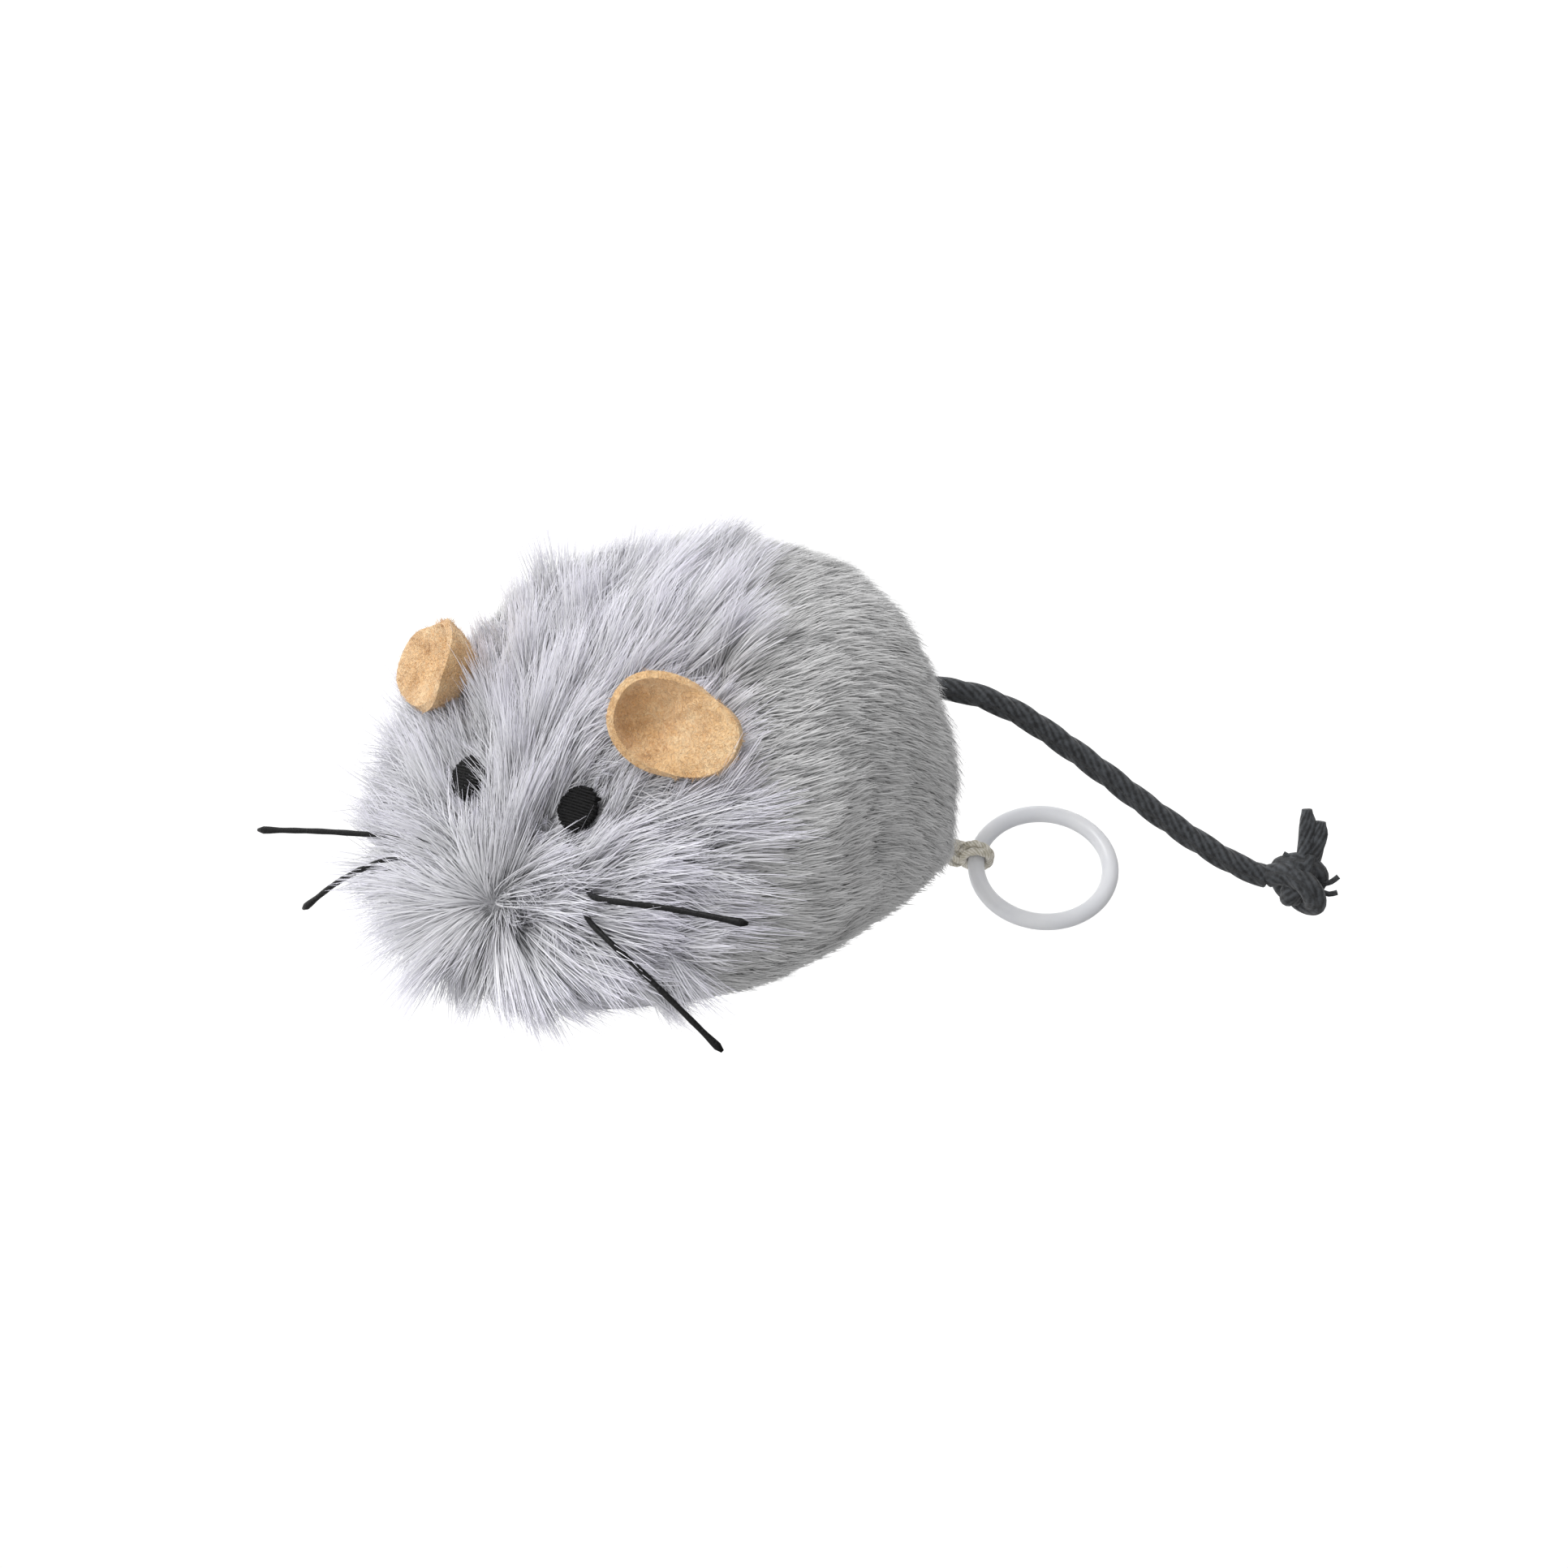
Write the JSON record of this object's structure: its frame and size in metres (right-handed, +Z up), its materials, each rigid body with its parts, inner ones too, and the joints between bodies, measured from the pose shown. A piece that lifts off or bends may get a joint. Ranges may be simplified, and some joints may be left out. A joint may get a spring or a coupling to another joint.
{
  "type": "wriggling plush mouse",
  "caption": "Grey plush toy mouse with felt ears, embroidered eyes, thread whiskers, a rope tail and a ring on a pull cord that winds a small drive inside.",
  "frame": {"origin": "on the belly's flat face, on the middle plane, under the widest part of the body", "axes": "+Z up, nose towards -Y, the mouse's left side towards +X"},
  "size_m": [0.084, 0.1146, 0.0527],
  "materials": {
    "plush": "long knitted pile, light grey with a lilac sheen",
    "wadding": "loose fibre fill",
    "felt": "pressed tan felt",
    "embroidery": "black satin stitch",
    "waxed_thread": "waxed black thread",
    "rope": "twisted dark grey cord",
    "cord": "twisted cream cord",
    "ring": "milky translucent moulding",
    "case_plastic": "moulded, fine matt",
    "gear_plastic": "moulded natural acetal",
    "steel": "bright drawn steel",
    "spring_steel": "blued strip",
    "weight_metal": "cast, dull"
  },
  "bodies": {
    "root": {"plush_left": "plush", "plush_right": "plush", "belly_panel": "plush", "wadding_head": "wadding", "wadding_middle": "wadding", "wadding_rump": "wadding", "ear_left": "felt", "ear_right": "felt", "eye_left": "embroidery", "eye_right": "embroidery", "whisker_thread_upper": "waxed_thread", "whisker_thread_lower": "waxed_thread", "tail_rope": "rope", "tail_knot": "rope", "tail_end": "rope", "case_tray": "case_plastic", "case_lid": "case_plastic", "case_screw_1": "steel", "case_screw_2": "steel", "case_screw_3": "steel", "case_screw_4": "steel", "drum_pin": "steel", "idler_pin": "steel", "weight_pin": "steel", "cord_guide": "case_plastic", "pull_cord": "cord"},
    "cord_end": {"cord_knot": "cord"},
    "ring": {"pull_ring": "ring"},
    "drum": {"cord_drum": "gear_plastic", "cord_turns": "cord", "return_spring": "spring_steel"},
    "drive": {"drive_gear": "gear_plastic", "pawl_pin": "steel"},
    "pawl_arm": {"pawl": "steel"},
    "idler": {"idler_gear": "gear_plastic"},
    "weight": {"weight_pinion": "gear_plastic", "eccentric_weight": "weight_metal"}
  },
  "joints": [
    {"name": "ring_pull", "type": "slide", "parent": "root", "child": "cord_end", "axis": [0, 1, 0], "range_m": [0, 0.1979], "stiffness_N_per_m": 6, "deforming": ["pull_cord"]},
    {"name": "ring_swing", "type": "hinge", "parent": "cord_end", "child": "ring", "pos_m": [0.01192, 0.04248, 0.00749], "axis": [-0.4068, 0.7008, 0.5859], "range_deg": [-60, 30]},
    {"name": "drum_spin", "type": "hinge", "parent": "root", "child": "drum", "pos_m": [0.003, 0.0055, 0.01], "axis": [0, 0, 1], "range_deg": [0, 1620], "deforming": ["return_spring", "cord_turns"]},
    {"name": "weight_spin", "type": "hinge", "parent": "root", "child": "weight", "pos_m": [0.00699, -0.01119, 0.02], "axis": [0, 0, 1], "continuous": true},
    {"name": "idler_spin", "type": "hinge", "parent": "root", "child": "idler", "pos_m": [-0.004, -0.00639, 0.017], "axis": [0, 0, 1], "continuous": true},
    {"name": "drive_gear_spin", "type": "hinge", "parent": "root", "child": "drive", "pos_m": [0.003, 0.0055, 0.015], "axis": [0, 0, 1], "continuous": true},
    {"name": "pawl_click", "type": "hinge", "parent": "drive", "child": "pawl_arm", "pos_m": [0.0122, 0.0055, 0.013], "axis": [0, 0, 1], "range_deg": [-12, 0]}
  ],
  "couplings": [
    {"joint": "drum_spin", "follows": "ring_pull", "rad_per_m": 142.86},
    {"joint": "idler_spin", "follows": "weight_spin", "ratio": -0.33333},
    {"joint": "drive_gear_spin", "follows": "weight_spin", "ratio": 0.092593}
  ]
}
